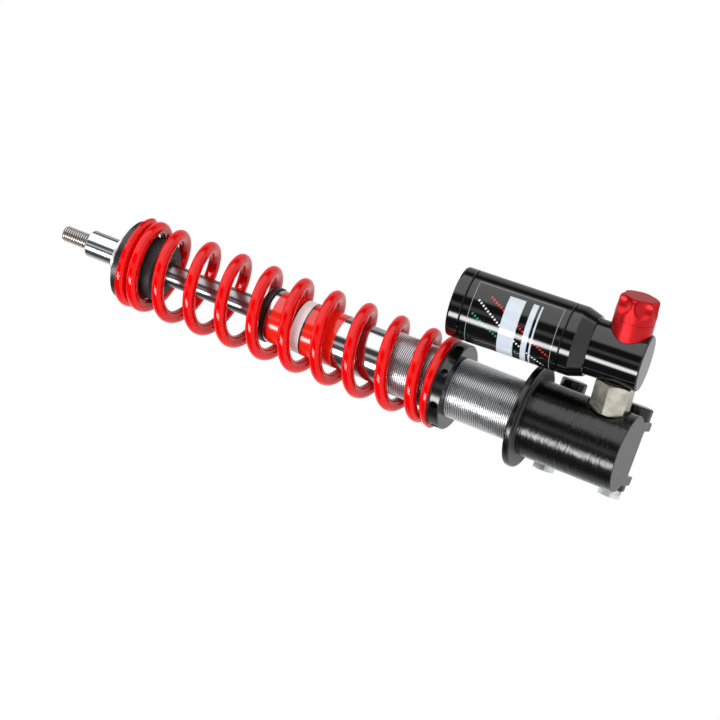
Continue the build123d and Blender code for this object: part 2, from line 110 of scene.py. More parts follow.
# ------------------------------------------------------------------------------------ meshes
def object_from(name: str, points: np.ndarray, faces: np.ndarray, crease: float = 32.0) -> bpy.types.Object:
    """Makes a closed, outward-facing mesh object.

    Args:
        name: the piece's name.
        points: vertices, n by 3, in metres in the row's frame.
        faces: vertex numbers, one row to a face.
        crease: edges sharper than this many degrees stay sharp.

    Returns:
        The object, linked to the scene at the origin.
    """
    mesh = bpy.data.meshes.new(name)
    mesh.from_pydata(points.tolist(), [], faces.tolist())
    work = bmesh.new()
    work.from_mesh(mesh)
    bmesh.ops.remove_doubles(work, verts=work.verts, dist=1e-7)
    bmesh.ops.dissolve_degenerate(work, dist=1e-8, edges=work.edges)
    bmesh.ops.recalc_face_normals(work, faces=work.faces)
    work.to_mesh(mesh)
    work.free()
    mesh.polygons.foreach_set("use_smooth", np.ones(len(mesh.polygons), bool))
    mesh.set_sharp_from_angle(angle=radians(crease))
    thing = bpy.data.objects.new(name, mesh)
    bpy.context.scene.collection.objects.link(thing)
    return thing


def grid_faces(rows: int, columns: int, close_rows: bool, close_columns: bool) -> np.ndarray:
    """Numbers the quads of a grid of vertices held row by row.

    Args:
        rows: how many rows of vertices.
        columns: how many vertices in a row.
        close_rows: joins the last row to the first.
        close_columns: joins the last column to the first.

    Returns:
        An array of vertex numbers, four to a face.
    """
    i = np.arange(rows if close_rows else rows - 1)[:, None]
    j = np.arange(columns if close_columns else columns - 1)[None, :]
    i2, j2 = (i + 1) % rows, (j + 1) % columns
    corners = [i * columns + j, i2 * columns + j, i2 * columns + j2, i * columns + j2]
    return np.stack([np.broadcast_to(c, (i.shape[0], j.shape[1])) for c in corners], axis=-1).reshape(-1, 4)


def turned(name: str, profile: list[tuple[float, float]], sides: int = 128) -> bpy.types.Object:
    """Turns a part about Z: each profile point (r, z) goes round to (r cos a, r sin a, z).

    Args:
        name: the piece's name.
        profile: the closed outline, in millimetres.
        sides: how many steps round.

    Returns:
        The object.
    """
    outline = np.array(profile, float) * MM
    angle = np.arange(sides) * 2 * pi / sides
    x = np.cos(angle)[:, None] * outline[:, 0]
    y = np.sin(angle)[:, None] * outline[:, 0]
    z = np.broadcast_to(outline[:, 1], x.shape)
    faces = grid_faces(sides, len(outline), close_rows=True, close_columns=True)
    return object_from(name, np.stack([x, y, z], axis=-1).reshape(-1, 3), faces)


@dataclass(frozen=True)
class Thread:
    """An outside screw thread cut round Z.

    Attributes:
        radius: over the crests, in millimetres.
        depth: crest to root, in millimetres.
        pitch: in millimetres.
        low: where the thread begins, in millimetres.
        high: where it ends, in millimetres.
        bore: the radius of the hole through it, or 0 for a solid bar.
        lead_in: how far the ends are turned down, in millimetres.
        sides: steps round.
    """

    radius: float
    depth: float
    pitch: float
    low: float
    high: float
    bore: float = 0.0
    lead_in: float = 1.0
    sides: int = 96

    def crest(self, phase: np.ndarray) -> np.ndarray:
        """Returns the radius at a share of the pitch: flat crest, slope, flat root, slope."""
        rise = np.interp(phase % 1.0, [0.0, 0.18, 0.5, 0.68, 1.0], [1.0, 1.0, 0.0, 0.0, 1.0])
        return self.radius - self.depth * (1 - rise)

    def mesh(self, name: str) -> bpy.types.Object:
        """Builds the threaded bar.

        The surface is a grid of stations along the thread by angles round it. A station at height h has the
        crest's radius at h / pitch, and stands at h + pitch x angle / 2 pi, so the last row is the first one
        moved on by one turn. Heights past an end are held at the end, a little inside the root's radius, and
        near an end the radius is capped by a cone.

        Args:
            name: the piece's name.

        Returns:
            The object.
        """
        per_turn = 6
        spare_turns = 3
        turns = int((self.high - self.low) / self.pitch) + spare_turns
        station = self.low - self.pitch + np.arange(turns * per_turn + 1) * self.pitch / per_turn
        angle = np.linspace(0, 2 * pi, self.sides + 1)[:, None]
        height = station[None, :] + self.pitch * angle / (2 * pi)
        radius = np.broadcast_to(self.crest((station - self.low) / self.pitch)[None, :], height.shape)
        end_radius = self.radius - 1.25 * self.depth
        from_end = np.minimum(height - self.low, self.high - height)
        cone = end_radius + np.clip(from_end, 0, None) / self.lead_in * 1.4 * self.depth
        radius = np.where(from_end <= 0, end_radius, np.minimum(radius, cone))
        height = np.clip(height, self.low, self.high)
        inner = np.full((self.sides + 1, 1), self.bore)
        ends = np.full((self.sides + 1, 1), 1.0)
        radius = np.hstack([radius, inner, inner])
        height = np.hstack([height, ends * self.high, ends * self.low])
        points = np.stack([radius * np.cos(angle), radius * np.sin(angle), height], axis=-1) * MM
        faces = grid_faces(self.sides + 1, radius.shape[1], close_rows=False, close_columns=True)
        return object_from(name, points.reshape(-1, 3), faces, crease=50)


# ------------------------------------------------------------------------------------ finishes
class Nodes:
    """Adds and joins the nodes of one shader tree."""

    def __init__(self, tree: bpy.types.NodeTree) -> None:
        """Takes the tree to work on."""
        self.tree = tree

    def join(self, output: bpy.types.NodeSocket, entry: bpy.types.NodeSocket) -> None:
        """Links an output to an input."""
        self.tree.links.new(output, entry)

    def feed(self, entry: bpy.types.NodeSocket, value: object) -> None:
        """Sets an input.

        Args:
            entry: the input.
            value: a socket to link, or a number or colour to hold; None leaves the input alone.
        """
        if isinstance(value, bpy.types.NodeSocket):
            self.join(value, entry)
        elif value is not None:
            entry.default_value = value

    def math(self, operation: str, a: object, b: object = None, c: object = None) -> bpy.types.NodeSocket:
        """Adds a Math node and returns its result.

        Args:
            operation: Blender's name of the operation.
            a: the first value or socket.
            b: the second value or socket.
            c: the third value or socket.

        Returns:
            The result socket.
        """
        node = self.tree.nodes.new("ShaderNodeMath")
        node.operation = operation
        for entry, value in zip(node.inputs, (a, b, c)):
            self.feed(entry, value)
        return node.outputs[0]

    def split(self, vector: bpy.types.NodeSocket) -> list[bpy.types.NodeSocket]:
        """Takes a vector apart.

        Args:
            vector: the vector's socket.

        Returns:
            Its X, Y and Z.
        """
        node = self.tree.nodes.new("ShaderNodeSeparateXYZ")
        self.join(vector, node.inputs[0])
        return list(node.outputs)

    def remap(
        self, value: bpy.types.NodeSocket, low: float, high: float, to_low: float, to_high: float
    ) -> bpy.types.NodeSocket:
        """Carries one range to another on a smooth step, held at the ends.

        Args:
            value: the socket to read.
            low: where the step begins.
            high: where it ends.
            to_low: the result up to low.
            to_high: the result from high on.

        Returns:
            The result socket.
        """
        node = self.tree.nodes.new("ShaderNodeMapRange")
        node.interpolation_type = "SMOOTHSTEP"
        self.join(value, node.inputs["Value"])
        for key, number in (("From Min", low), ("From Max", high), ("To Min", to_low), ("To Max", to_high)):
            node.inputs[key].default_value = number
        return node.outputs[0]

    def window(
        self, value: bpy.types.NodeSocket, low: float, high: float, soft: float
    ) -> bpy.types.NodeSocket:
        """Tells whether a value is inside a range: a rising step times a falling one.

        Args:
            value: the socket to read.
            low: the range's lower edge.
            high: its upper edge.
            soft: half the width of each edge's step.

        Returns:
            1 inside and 0 outside.
        """
        enter = self.remap(value, low - soft, low + soft, 0.0, 1.0)
        leave = self.remap(value, high - soft, high + soft, 1.0, 0.0)
        return self.math("MULTIPLY", enter, leave)


class Bench(Nodes):
    """The nodes of one material, with the pattern coordinates of a place."""

    def __init__(self, name: str, place: Place = DAMPER) -> None:
        """Starts a material.

        Args:
            name: the material's name.
            place: the local frame that patterns follow.
        """
        self.material = bpy.data.materials.new(name)
        self.material.use_nodes = True
        super().__init__(self.material.node_tree)
        self.shader = self.tree.nodes["Principled BSDF"]
        source = self.tree.nodes.new("ShaderNodeTexCoord")
        turn = place.axes().T
        mapping = self.tree.nodes.new("ShaderNodeMapping")
        mapping.inputs["Rotation"].default_value = Matrix(turn.tolist()).to_euler("XYZ")
        mapping.inputs["Location"].default_value = Vector((-turn @ np.array(place.origin, float)).tolist())
        self.join(source.outputs["Object"], mapping.inputs["Vector"])
        self.local = mapping.outputs["Vector"]
        self.facing = source.outputs["Normal"]

    def stretched(self, scale: tuple[float, float, float]) -> bpy.types.NodeSocket:
        """Draws a pattern out or in along the axes.

        Args:
            scale: what X, Y and Z are multiplied by.

        Returns:
            The scaled local coordinates.
        """
        node = self.tree.nodes.new("ShaderNodeMapping")
        node.inputs["Scale"].default_value = scale
        self.join(self.local, node.inputs["Vector"])
        return node.outputs["Vector"]

    def noise(
        self, vector: bpy.types.NodeSocket, scale: float, detail: float = 3.0, rough: float = 0.5
    ) -> bpy.types.NodeSocket:
        """Adds a noise pattern and returns its value.

        Args:
            vector: the coordinates.
            scale: cells to a metre.
            detail: how many finer layers.
            rough: how strong the finer layers are.

        Returns:
            The value socket, from 0 to 1.
        """
        node = self.tree.nodes.new("ShaderNodeTexNoise")
        self.feed(node.inputs["Vector"], vector)
        node.inputs["Scale"].default_value = scale
        node.inputs["Detail"].default_value = detail
        node.inputs["Roughness"].default_value = rough
        return node.outputs[0]

    def polar(self) -> tuple[bpy.types.NodeSocket, bpy.types.NodeSocket, bpy.types.NodeSocket]:
        """Works out the local place of a point in polar form: r = sqrt(x x + y y), angle = atan2(y, x).

        Returns:
            The distance from the axis, the angle round it and the height along it.
        """
        x, y, z = self.split(self.local)
        radius = self.math("SQRT", self.math("ADD", self.math("MULTIPLY", x, x), self.math("MULTIPLY", y, y)))
        return radius, self.math("ARCTAN2", y, x), z

    def turning_marks(self, per_metre: float) -> bpy.types.NodeSocket:
        """Makes the fine rings left by a lathe tool.

        They are noise along the height plus 1.7 times the distance from the axis.

        Args:
            per_metre: rings to the metre.

        Returns:
            The value socket, from 0 to 1.
        """
        radius, _, z = self.polar()
        node = self.tree.nodes.new("ShaderNodeTexNoise")
        node.noise_dimensions = "1D"
        self.join(self.math("ADD", z, self.math("MULTIPLY", radius, 1.7)), node.inputs["W"])
        node.inputs["Scale"].default_value = per_metre
        node.inputs["Detail"].default_value = 4.0
        return node.outputs[0]

    def blend(self, share: bpy.types.NodeSocket, a: object, b: object) -> bpy.types.NodeSocket:
        """Mixes two colours by a share.

        Args:
            share: 0 gives the first and 1 the second.
            a: the first colour, or its socket.
            b: the second colour, or its socket.

        Returns:
            The colour socket.
        """
        node = self.tree.nodes.new("ShaderNodeMix")
        node.data_type = "RGBA"
        self.join(share, node.inputs["Factor"])
        for entry, value in ((node.inputs["A"], a), (node.inputs["B"], b)):
            self.feed(entry, (*value, 1.0) if isinstance(value, tuple) else value)
        return node.outputs["Result"]

    def bump(self, height: bpy.types.NodeSocket, depth: float, strength: float = 1.0) -> None:
        """Raises the surface by a height pattern.

        Args:
            height: the pattern, from 0 to 1.
            depth: the height of 1, in millimetres.
            strength: how much of it shows.
        """
        node = self.tree.nodes.new("ShaderNodeBump")
        node.inputs["Distance"].default_value = depth * MM
        node.inputs["Strength"].default_value = strength
        self.join(height, node.inputs["Height"])
        if self.shader.inputs["Normal"].is_linked:
            self.join(self.shader.inputs["Normal"].links[0].from_socket, node.inputs["Normal"])
        self.join(node.outputs[0], self.shader.inputs["Normal"])

    def set(self, **values: object) -> None:
        """Sets the shader's inputs.

        Args:
            **values: sockets, numbers or colours by the input's name, with an underscore for each space.
        """
        for key, value in values.items():
            value = (*value, 1.0) if isinstance(value, tuple) else value
            self.feed(self.shader.inputs[key.replace("_", " ")], value)


Colour = tuple[float, float, float]


@dataclass(frozen=True)
class TurnedMetal:
    """Bare or plated metal from the lathe, with fine rings and a faint mottling.

    Attributes:
        name: the material's name.
        colour: the metal's colour.
        shade: its colour in the mottled places.
        rough: the least roughness.
        spread: how much the roughness varies.
        rings: turning marks to the metre.
        ring_depth: their height, in millimetres.
        place: the frame that it was turned in.
        metal: how metallic it looks, from 0 to 1.
    """

    name: str
    colour: Colour
    shade: Colour
    rough: float
    spread: float
    rings: float = 2500.0
    ring_depth: float = 0.002
    place: Place = DAMPER
    metal: float = 1.0

    def material(self) -> bpy.types.Material:
        """Builds the shader.

        Returns:
            The material.
        """
        bench = Bench(self.name, self.place)
        cloud = bench.noise(bench.local, 140.0, 4.0)
        marks = bench.turning_marks(self.rings)
        bench.set(
            Base_Color=bench.blend(bench.remap(cloud, 0.35, 0.7, 0, 1), self.colour, self.shade),
            Metallic=self.metal,
            Roughness=bench.remap(marks, 0.3, 0.75, self.rough, self.rough + self.spread),
        )
        bench.bump(marks, self.ring_depth)
        return bench.material


@dataclass(frozen=True)
class ThreadedMetal:
    """Bright metal with a thread cut in it, with shade painted dark into the roots.

    Attributes:
        name: the material's name.
        colour: the metal on the crests.
        root: the colour painted into the roots as shade.
        thread: the thread that the roots follow.
        rough: the least roughness.
    """

    name: str
    colour: Colour
    root: Colour
    thread: Thread
    rough: float = 0.26

    def material(self) -> bpy.types.Material:
        """Builds the shader.

        A point's share of the pitch is the fraction of (z - low) / pitch - angle / 2 pi, and the root's is
        about 0.59; around it the colour is painted dark and not metallic, as shade in the groove.

        Returns:
            The material.
        """
        bench = Bench(self.name)
        _, angle, z = bench.polar()
        rise = bench.math("DIVIDE", bench.math("SUBTRACT", z, self.thread.low * MM), self.thread.pitch * MM)
        share = bench.math("FRACT", bench.math("SUBTRACT", rise, bench.math("DIVIDE", angle, 2 * pi)))
        # painted shade: the roots of the thread are darkened and lose their metal, standing in for the shade
        # in the grooves
        painted_root_shade = bench.window(share, 0.42, 0.76, 0.10)
        cloud = bench.noise(bench.local, 140.0, 4.0)
        bench.set(
            Base_Color=bench.blend(painted_root_shade, self.colour, self.root),
            Metallic=bench.math("SUBTRACT", 1.0, painted_root_shade),
            Roughness=bench.remap(cloud, 0.35, 0.7, self.rough, self.rough + 0.08),
        )
        return bench.material


@dataclass(frozen=True)
class Anodised:
    """A dyed oxide film over turned aluminium.

    Attributes:
        name: the material's name.
        colour: the dye.
        shade: the dye where the film is thinner.
        metal: how metallic it looks, from 0 to 1.
        rough: the least roughness.
        spread: how much the roughness varies.
        rings: turning marks to the metre.
        ring_depth: their height, in millimetres.
        place: the frame that it was turned in.
    """

    name: str
    colour: Colour
    shade: Colour
    metal: float
    rough: float
    spread: float = 0.08
    rings: float = 2200.0
    ring_depth: float = 0.0015
    place: Place = DAMPER

    def material(self) -> bpy.types.Material:
        """Builds the shader.

        Returns:
            The material.
        """
        bench = Bench(self.name, self.place)
        marks = bench.turning_marks(self.rings)
        cloud = bench.noise(bench.local, 90.0, 3.0)
        bench.set(
            Base_Color=bench.blend(bench.remap(cloud, 0.4, 0.7, 0, 1), self.colour, self.shade),
            Metallic=self.metal,
            Roughness=bench.remap(marks, 0.3, 0.7, self.rough, self.rough + self.spread),
        )
        bench.shader.inputs["IOR"].default_value = 1.6
        bench.bump(marks, self.ring_depth)
        return bench.material


@dataclass(frozen=True)
class PowderCoat:
    """A thick glossy coat over wire, with a faint orange peel.

    Attributes:
        name: the material's name.
        colour: the coat.
        shade: the coat where it is thicker.
        rough: its roughness.
        peel: the height of the orange peel, in millimetres.
    """

    name: str
    colour: Colour
    shade: Colour
    rough: float = 0.45
    peel: float = 0.002

    def material(self) -> bpy.types.Material:
        """Builds the shader.

        Returns:
            The material.
        """
        bench = Bench(self.name)
        peel = bench.noise(bench.local, 420.0, 2.0)
        cloud = bench.noise(bench.local, 60.0, 3.0)
        bench.set(
            Base_Color=bench.blend(bench.remap(cloud, 0.35, 0.7, 0, 1), self.colour, self.shade),
            Roughness=bench.remap(peel, 0.3, 0.7, self.rough, self.rough + 0.1),
        )
        bench.shader.inputs["Specular IOR Level"].default_value = 0.0
        bench.shader.inputs["Coat Weight"].default_value = 1.0
        bench.shader.inputs["Coat Roughness"].default_value = 0.03
        bench.shader.inputs["Coat IOR"].default_value = 1.4
        bench.bump(peel, self.peel)
        return bench.material


@dataclass(frozen=True)
class CastPaint:
    """Black paint over a casting, rippled round the casting, with a bare-turned end face.

    Attributes:
        name: the material's name.
        colour: the paint.
        end_face: the colour of the machined end.
        rough: the paint's roughness.
        ripple: the height of the ripples, in millimetres.
        end_rougher: how much rougher the machined end is than the paint.
        grain: the height of the paint's fine grain, in millimetres.
    """

    name: str
    colour: Colour
    end_face: Colour
    rough: float = 0.24
    ripple: float = 0.10
    end_rougher: float = 0.22
    grain: float = 0.004

    def material(self) -> bpy.types.Material:
        """Builds the shader.

        The ripples are noise drawn out about nine times across the damper's axis. The machined end is told by
        its facing, which is straight down.

        Returns:
            The material.
        """
        bench = Bench(self.name)
        ripple = bench.noise(bench.stretched((60.0, 60.0, 560.0)), 1.0, 3.0, 0.55)
        grain = bench.noise(bench.local, 1500.0, 2.0)
        end = bench.remap(bench.split(bench.facing)[2], -0.97, -0.93, 1.0, 0.0)
        bench.set(
            Base_Color=bench.blend(end, self.colour, self.end_face),
            Roughness=bench.math(
                "ADD",
                bench.remap(grain, 0.3, 0.7, self.rough, self.rough + 0.08),
                bench.math("MULTIPLY", end, self.end_rougher),
            ),
        )
        bench.shader.inputs["IOR"].default_value = 1.55
        paint_only = bench.math("MULTIPLY", ripple, bench.math("SUBTRACT", 1.0, end))
        bench.bump(paint_only, self.ripple)
        bench.bump(grain, self.grain)
        return bench.material


@dataclass(frozen=True)
class Rubber:
    """Moulded rubber or dull plastic.

    Attributes:
        name: the material's name.
        colour: its colour.
        rough: its roughness.
        grain: the height of the mould grain, in millimetres.
        dusty: how many times paler it is where dust lies.
    """

    name: str
    colour: Colour
    rough: float = 0.5
    grain: float = 0.01
    dusty: float = 2.2

    def material(self) -> bpy.types.Material:
        """Builds the shader.

        Returns:
            The material.
        """
        bench = Bench(self.name)
        grain = bench.noise(bench.local, 1100.0, 3.0)
        dust = bench.noise(bench.local, 120.0, 4.0)
        pale = tuple(c * self.dusty for c in self.colour)
        bench.set(
            Base_Color=bench.blend(bench.remap(dust, 0.45, 0.8, 0, 1), self.colour, pale),
            Roughness=bench.remap(grain, 0.3, 0.7, self.rough, self.rough + 0.12),
        )
        bench.bump(grain, self.grain)
        return bench.material


@dataclass(frozen=True)
class BandFilm:
    """A glossy film round the tube: a strong ground with a pale ring between two dark lines.

    Attributes:
        name: the material's name.
        ground: the film's colour.
        stripe: the ring's colour.
        line: the lines' colour.
        middle: the ring's height on the tube, in millimetres.
        width: the ring's width with its two lines, in millimetres.
        line_width: a line's width, in millimetres.
        soft: the width of a printed edge, in millimetres.
    """

    name: str
    ground: Colour
    stripe: Colour
    line: Colour
    middle: float
    width: float
    line_width: float = 1.2
    soft: float = 0.2

    def material(self) -> bpy.types.Material:
        """Builds the shader. The ring is where the height is within half its width of its middle.

        Returns:
            The material.
        """
        bench = Bench(self.name)
        _, _, z = bench.polar()
        off = bench.math("ABSOLUTE", bench.math("SUBTRACT", z, self.middle * MM))
        outer = self.width / 2
        inner = outer - self.line_width
        edge = bench.remap(off, outer * MM, (outer + self.soft) * MM, 1.0, 0.0)
        core = bench.remap(off, inner * MM, (inner + self.soft) * MM, 1.0, 0.0)
        colour = bench.blend(core, bench.blend(edge, self.ground, self.line), self.stripe)
        ink = bench.noise(bench.local, 700.0, 2.0)
        bench.set(Base_Color=colour, Roughness=bench.remap(ink, 0.3, 0.7, 0.14, 0.2))
        bench.shader.inputs["Coat Weight"].default_value = 0.5
        bench.shader.inputs["Coat Roughness"].default_value = 0.04
        bench.bump(ink, 0.004)
        return bench.material


@dataclass(frozen=True)
class DottedLine:
    """A slanting row of dots printed round a tube.

    Attributes:
        colour: the ink.
        start: height on the tube in millimetres and angle round it in radians.
        stop: the same for its other end.
        pitch: from dot to dot, in millimetres.
        width: the dots' width, in millimetres.
    """

    colour: Colour
    start: tuple[float, float]
    stop: tuple[float, float]
    pitch: float = 2.1
    width: float = 1.3

    def share(
        self, bench: Bench, angle: bpy.types.NodeSocket, z: bpy.types.NodeSocket, radius: float
    ) -> bpy.types.NodeSocket:
        """Draws the dots.

        With the tube rolled flat, a point is (radius x angle, z). Its distance along the row and its distance
        from the row are the parts of (point - start) along and across the row; a dot is where the first is in
        the middle half of a pitch and the second is within half the width.

        Args:
            bench: the material's nodes.
            angle: the angle round the tube.
            z: the height along it.
            radius: the tube's, in millimetres.

        Returns:
            1 on a dot and 0 off it.
        """
        run = np.array([radius * (self.stop[1] - self.start[1]), self.stop[0] - self.start[0]])
        length = float(np.linalg.norm(run))
        u, v = (run / length).tolist()
        x = bench.math("SUBTRACT", bench.math("MULTIPLY", angle, radius), radius * self.start[1])
        y = bench.math("SUBTRACT", bench.math("MULTIPLY", z, 1000.0), self.start[0])
        along = bench.math("ADD", bench.math("MULTIPLY", x, u), bench.math("MULTIPLY", y, v))
        off = bench.math("SUBTRACT", bench.math("MULTIPLY", x, v), bench.math("MULTIPLY", y, u))
        dot = bench.window(bench.math("FRACT", bench.math("DIVIDE", along, self.pitch)), 0.2, 0.7, 0.08)
        beside = bench.window(off, -self.width / 2, self.width / 2, 0.1)
        row = bench.math("MULTIPLY", bench.window(along, 0.0, length, 0.1), beside)
        return bench.math("MULTIPLY", row, dot)


@dataclass(frozen=True)
class LabelFilm:
    """A black film on the reservoir with plain pale bars, rows of dots and a fine border.

    Attributes:
        name: the material's name.
        ground: the film's colour.
        ink: the bars' colour.
        border: the border's colour.
        bars: (height of the middle, width) along the tube, in millimetres.
        span: the angles between which the bars lie, in radians.
        edges: the border's lower and upper heights, in millimetres.
        dots: the rows of dots.
        radius: the film's, in millimetres.
        border_width: the border's width, in millimetres.
        margin: from the bars' ends to the border's upright line, in radians.
    """

    name: str
    ground: Colour
    ink: Colour
    border: Colour
    bars: tuple[tuple[float, float], ...]
    span: tuple[float, float]
    edges: tuple[float, float]
    dots: tuple[DottedLine, ...]
    radius: float = 21.5
    border_width: float = 0.35
    margin: float = 0.14

    def frame_line(
        self, bench: Bench, angle: bpy.types.NodeSocket, z: bpy.types.NodeSocket
    ) -> bpy.types.NodeSocket:
        """Draws the border: a line round the tube at each end, and one upright line that joins them.

        Args:
            bench: the material's nodes.
            angle: the angle round the tube.
            z: the height along it.

        Returns:
            1 on the border and 0 off it.
        """
        low, high = self.edges
        side = self.span[1] + self.margin
        lower = bench.window(z, low * MM, (low + self.border_width) * MM, 0.0001)
        upper = bench.window(z, (high - self.border_width) * MM, high * MM, 0.0001)
        upright = bench.math(
            "MULTIPLY",
            bench.window(angle, side, side + self.border_width / self.radius, 0.003),
            bench.window(z, low * MM, high * MM, 0.0001),
        )
        inside = bench.remap(angle, side + 0.01, side + 0.02, 1.0, 0.0)
        level = bench.math("MULTIPLY", bench.math("MAXIMUM", lower, upper), inside)
        return bench.math("MAXIMUM", level, upright)

    def material(self) -> bpy.types.Material:
        """Builds the shader.

        Each mark is a window in height, in angle or along a row, and they are laid over the ground in turn.

        Returns:
            The material.
        """
        bench = Bench(self.name, RESERVOIR)
        _, angle, z = bench.polar()
        colour: object = bench.blend(self.frame_line(bench, angle, z), self.ground, self.border)
        for row in self.dots:
            colour = bench.blend(row.share(bench, angle, z, self.radius), colour, row.colour)
        across = bench.window(angle, self.span[0], self.span[1], 0.006)
        for middle, width in self.bars:
            bar = bench.window(z, (middle - width / 2) * MM, (middle + width / 2) * MM, 0.0001)
            colour = bench.blend(bench.math("MULTIPLY", bar, across), colour, self.ink)
        ink = bench.noise(bench.local, 800.0, 2.0)
        bench.set(Base_Color=colour, Roughness=bench.remap(ink, 0.3, 0.7, 0.08, 0.12))
        bench.shader.inputs["Coat Weight"].default_value = 0.3
        bench.shader.inputs["Coat Roughness"].default_value = 0.04
        bench.bump(ink, 0.002)
        return bench.material


Finish = TurnedMetal | ThreadedMetal | Anodised | PowderCoat | CastPaint | Rubber | BandFilm | LabelFilm

SLEEVE_LOW, SLEEVE_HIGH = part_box("threaded_sleeve")
STUD_THREAD = Thread(radius=5.0, depth=0.8, pitch=1.5, low=-0.4, high=19.0, lead_in=1.3)
SLEEVE_THREAD = Thread(
    radius=(SLEEVE_HIGH[0] - SLEEVE_LOW[0]) / 2 / MM,
    depth=0.55,
    pitch=1.25,
    low=SLEEVE_LOW[2] / MM,
    high=SLEEVE_HIGH[2] / MM,
    bore=16.52,
)

CHROME = TurnedMetal(
    "hard_chrome", (0.62, 0.62, 0.63), (0.55, 0.55, 0.56), rough=0.11, spread=0.05, ring_depth=0.0006
)
ROD_CHROME = TurnedMetal(
    "rod_chrome", (0.36, 0.355, 0.365), (0.30, 0.295, 0.305), rough=0.2, spread=0.06, ring_depth=0.001
)
# the root colours of both threads are painted shade in the grooves
THREAD_CHROME = ThreadedMetal(
    "thread_chrome", (0.72, 0.72, 0.74), root=(0.008, 0.008, 0.009), thread=SLEEVE_THREAD, rough=0.27
)
STUD_STEEL = ThreadedMetal(
    "stud_steel", (0.60, 0.56, 0.53), root=(0.05, 0.045, 0.04), thread=STUD_THREAD, rough=0.24
)
ZINC = TurnedMetal("bright_zinc", (0.74, 0.77, 0.77), (0.62, 0.65, 0.66), rough=0.13, spread=0.10)
WASHER_ZINC = TurnedMetal(
    "washer_zinc", (0.86, 0.88, 0.86), (0.70, 0.72, 0.70), rough=0.34, spread=0.12, metal=0.6
)
BOLT_ZINC = TurnedMetal(
    "bolt_zinc", (0.92, 0.94, 0.96), (0.50, 0.52, 0.55), rough=0.16, spread=0.14, place=KNOB, metal=0.75
)
PASSIVATE = TurnedMetal(
    "pale_passivate",
    (0.70, 0.67, 0.58),
    (0.44, 0.42, 0.35),
    rough=0.26,
    spread=0.2,
    rings=900.0,
    place=KNOB,
    ring_depth=0.004,
)
BARE_STEEL = TurnedMetal("bare_steel", (0.50, 0.50, 0.51), (0.42, 0.42, 0.43), rough=0.25, spread=0.12)
BARE_ALLOY = TurnedMetal("bare_alloy", (0.72, 0.72, 0.73), (0.62, 0.62, 0.63), rough=0.24, spread=0.12)
BRONZE = TurnedMetal("turned_bronze", (0.62, 0.42, 0.18), (0.50, 0.33, 0.14), rough=0.28, spread=0.12)
BLACK_ANODISED = Anodised(
    "black_anodised", (0.006, 0.006, 0.006), (0.010, 0.010, 0.010), metal=0.0, rough=0.30
)
RING_BLACK = Anodised("ring_black", (0.003, 0.003, 0.003), (0.005, 0.005, 0.005), metal=0.0, rough=0.14)
RESERVOIR_BLACK = Anodised(
    "reservoir_black",
    (0.002, 0.002, 0.0022),
    (0.003, 0.003, 0.003),
    metal=0.0,
    rough=0.07,
    spread=0.04,
    place=RESERVOIR,
)
RED_ANODISED = Anodised(
    "red_anodised",
    (0.62, 0.008, 0.012),
    (0.52, 0.006, 0.009),
    metal=0.75,
    rough=0.30,
    spread=0.10,
    place=KNOB,
)
SPRING_RED = PowderCoat("spring_red", (0.80, 0.0008, 0.0014), (0.74, 0.0006, 0.0011))
MOUNT_BLACK = CastPaint(
    "mount_black", (0.003, 0.003, 0.003), end_face=(0.070, 0.070, 0.071), rough=0.14, ripple=0.55
)
STOP_RUBBER = Rubber("stop_rubber", (0.010, 0.009, 0.0085))
SEAL_RUBBER = Rubber("seal_rubber", (0.012, 0.012, 0.012))
DULL_PLASTIC = Rubber("dull_plastic", (0.014, 0.014, 0.014), rough=0.4, grain=0.004)
BODY_BAND = BandFilm(
    "body_band",
    ground=(0.86, 0.016, 0.006),
    stripe=(0.90, 0.90, 0.90),
    line=(0.02, 0.02, 0.02),
    middle=-155.8,
    width=8.4,
)
LABEL = LabelFilm(
    "label_film",
    ground=(0.003, 0.003, 0.003),
    ink=(0.62, 0.68, 0.76),
    border=(0.30, 0.30, 0.30),
    bars=((67.0, 10.0), (55.5, 3.4), (51.6, 1.0)),
    span=(-3.0, -0.66),
    edges=(38.8, 92.3),
    dots=(
        DottedLine((0.75, 0.03, 0.02), start=(82.5, -0.86), stop=(40.0, -2.0)),
        DottedLine((0.75, 0.75, 0.75), start=(89.0, -1.05), stop=(42.5, -2.45)),
        DottedLine((0.02, 0.30, 0.22), start=(90.5, -1.45), stop=(54.0, -2.4)),
    ),
)


class Group(Enum):
    """Which finish each carried-over node has."""

    ZINC = ("top_spacer",)
    WASHER = ("top_washer",)
    BOLTS = ("clamp_bolts",)
    BLACK = ("top_spring_seat", "seal_head")
    RING = ("preload_ring",)
    RESERVOIR = ("reservoir_head", "reservoir_tube", "reservoir_end_cap")
    KNOB = ("adjuster_knob",)
    MOUNT = ("lower_mount",)
    CHROME = ("damper_tube",)
    UNION = ("hex_union",)
    STOP = ("bump_stop", "top_out_bumper")
    SEALS = (
        "rod_wiper",
        "rod_seal",
        "seal_head_o_ring",
        "union_seals",
        "head_o_ring",
        "end_cap_o_ring",
        "floating_piston_seal",
    )
    PLASTIC = ("spring_slip_washer", "piston_band", "valve_cap")
    STEEL = (
        "piston_backing_washer",
        "rebound_shims",
        "compression_shims",
        "piston_nut",
        "adjuster_spindle",
        "metering_needle",
    )
    ALLOY = ("damper_piston", "floating_piston")
    BRONZE = ("rod_bush", "gas_valve", "adjuster_cartridge")
    BAND = ("tube_band",)
    LABEL = ("reservoir_label",)


